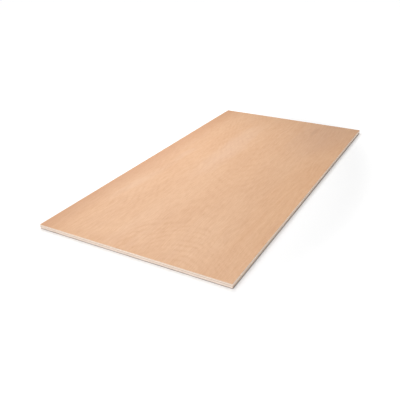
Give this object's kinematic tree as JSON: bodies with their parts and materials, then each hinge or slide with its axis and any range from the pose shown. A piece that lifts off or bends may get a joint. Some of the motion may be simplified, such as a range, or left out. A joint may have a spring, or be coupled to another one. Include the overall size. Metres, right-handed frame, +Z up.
{
  "type": "plywood sheet",
  "caption": "Rectangular plywood sheet lying flat, with a sanded face, lightly eased arrises and square sawn edges that show the plies.",
  "frame": {"origin": "centre of the footprint, on the underside of the sheet", "axes": "+X across the width, +Y along the length and the face grain, +Z up through the thickness"},
  "size_m": [0.61, 1.22, 0.012],
  "materials": {
    "face_ply": "sanded, unfinished",
    "upper_crossband": "sawn edge, unfinished",
    "centre_ply": "sawn edge, unfinished",
    "lower_crossband": "sawn edge, unfinished",
    "back_ply": "sanded, unfinished"
  },
  "bodies": {
    "root": {"face_ply": "face_ply", "upper_crossband": "upper_crossband", "centre_ply": "centre_ply", "lower_crossband": "lower_crossband", "back_ply": "back_ply"}
  },
  "joints": []
}
